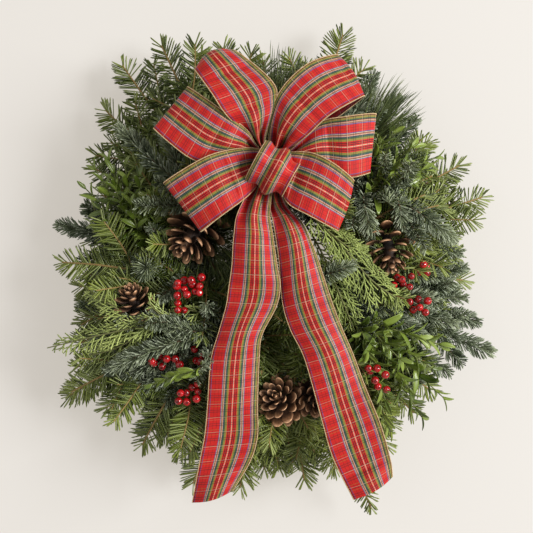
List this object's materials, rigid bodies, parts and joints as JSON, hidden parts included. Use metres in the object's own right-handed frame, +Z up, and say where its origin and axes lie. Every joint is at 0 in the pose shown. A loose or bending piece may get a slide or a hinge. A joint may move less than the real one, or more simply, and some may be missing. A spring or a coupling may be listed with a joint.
{
  "type": "fresh evergreen wreath",
  "caption": "Round door wreath of mixed fresh evergreens on a wire frame, with pine cones, red berries and a plaid ribbon bow with long tails.",
  "frame": {"origin": "the point where the nail that carries the hanger loop enters the wall, just under the top of the loop; the wreath's centre is 193 mm below it", "axes": "+Z up, +Y into the wall (the braces' backs lie on the wall at y = 0), the wreath's face looks along -Y, +X to the viewer's right"},
  "size_m": [0.6, 0.1948, 0.636],
  "materials": {
    "fir_needles": "fresh green fir needles, satin, paler underneath",
    "noble_needles": "blue-grey waxy fir needles, matt bloom",
    "pine_needles": "long dark green pine needles, satin",
    "cedar_foliage": "light yellow-green scale foliage, satin",
    "box_leaves": "small leathery oval leaves, semi-gloss",
    "twig_bark": "rough brown twig bark",
    "cone_scales": "dry woody scales, paler at the tips",
    "berry_skin": "smooth glossy berry skin",
    "ribbon_cloth": "woven plaid taffeta, soft sheen",
    "ribbon_edge": "gold metallic thread over a thin edge wire",
    "frame_wire": "green lacquered steel wire"
  },
  "bodies": {
    "root": {"berries_bottom_left": "berry_skin", "berries_left": "berry_skin", "berries_low_left": "berry_skin", "berries_low_right": "berry_skin", "berries_right": "berry_skin", "binding_wire": "frame_wire", "bow_centre_loop": "ribbon_cloth", "bow_loop_left": "ribbon_cloth", "bow_loop_lower_left": "ribbon_cloth", "bow_loop_lower_right": "ribbon_cloth", "bow_loop_right": "ribbon_cloth", "bow_loop_top_left": "ribbon_cloth", "bow_loop_top_right": "ribbon_cloth", "bow_pinch": "ribbon_cloth", "bow_tail_left": "ribbon_cloth", "bow_tail_right": "ribbon_cloth", "bow_tie_wire": "frame_wire", "box_bunch_left": "box_leaves", "box_bunch_lower_right": "box_leaves", "box_bunch_upper_right": "box_leaves", "cedar_bunch_left": "cedar_foliage", "cedar_bunch_right_inner": "cedar_foliage", "cone_bottom": "cone_scales", "cone_bottom_right": "cone_scales", "cone_far_left": "cone_scales", "cone_left": "cone_scales", "cone_right": "cone_scales", "fir_bunch_bottom": "fir_needles", "fir_bunch_bottom_left": "fir_needles", "fir_bunch_bottom_middle": "fir_needles", "fir_bunch_bottom_right": "fir_needles", "fir_bunch_left_of_tails": "fir_needles", "fir_bunch_lower_left": "fir_needles", "fir_bunch_lower_right": "fir_needles", "fir_bunch_right": "fir_needles", "fir_bunch_right_middle": "fir_needles", "fir_bunch_top": "fir_needles", "fir_bunch_top_left": "fir_needles", "fir_bunch_top_right": "fir_needles", "fir_bunch_upper_left": "fir_needles", "frame_brace_1": "frame_wire", "frame_brace_2": "frame_wire", "frame_brace_3": "frame_wire", "frame_brace_4": "frame_wire", "frame_inner_rail": "frame_wire", "frame_outer_rail": "frame_wire", "hanger_loop": "frame_wire", "noble_bunch_bottom_inner": "noble_needles", "noble_bunch_left": "noble_needles", "noble_bunch_left_low": "noble_needles", "noble_bunch_lower_inner": "noble_needles", "noble_bunch_lower_left": "noble_needles", "noble_bunch_lower_right": "noble_needles", "noble_bunch_right_low": "noble_needles", "noble_bunch_top_right": "noble_needles", "noble_bunch_under_bow_right": "noble_needles", "noble_bunch_upper_left": "noble_needles", "pine_bunch_left_inner": "pine_needles", "pine_bunch_under_bow_left": "pine_needles", "pine_bunch_upper_right": "pine_needles"}
  },
  "joints": []
}
